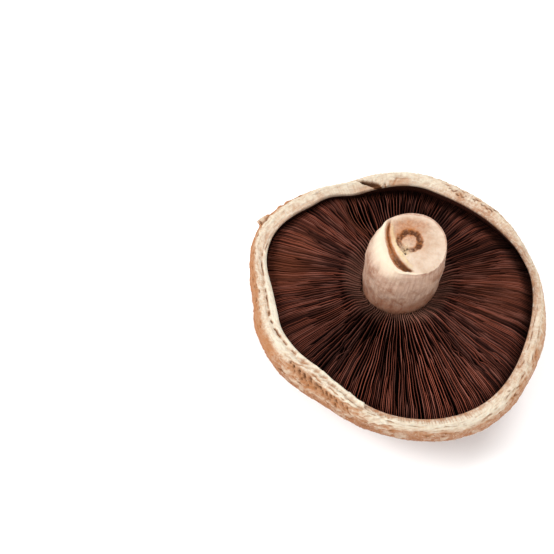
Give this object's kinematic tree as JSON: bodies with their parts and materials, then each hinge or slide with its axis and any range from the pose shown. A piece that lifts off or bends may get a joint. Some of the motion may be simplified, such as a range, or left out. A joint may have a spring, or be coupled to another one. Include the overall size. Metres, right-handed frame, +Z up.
{
  "type": "portobello mushroom",
  "caption": "Picked portobello mushroom lying cap down: a broad wavy cap with a curled-in margin, a disc of thin radial gills and a stout cut stem.",
  "frame": {"origin": "centre of the small flat spot on the outside of the cap that the mushroom lies on", "axes": "+Z up out of the gills, roughly along the stem; -Z is the outward normal of the flat spot; -Y is the side that faces the viewer in the picture, with +X to the right"},
  "size_m": [0.1127, 0.1153, 0.055],
  "materials": {
    "flesh": "matte",
    "gills": "matte"
  },
  "bodies": {
    "root": {"cap_and_stem": "flesh", "gills": "gills"}
  },
  "joints": []
}
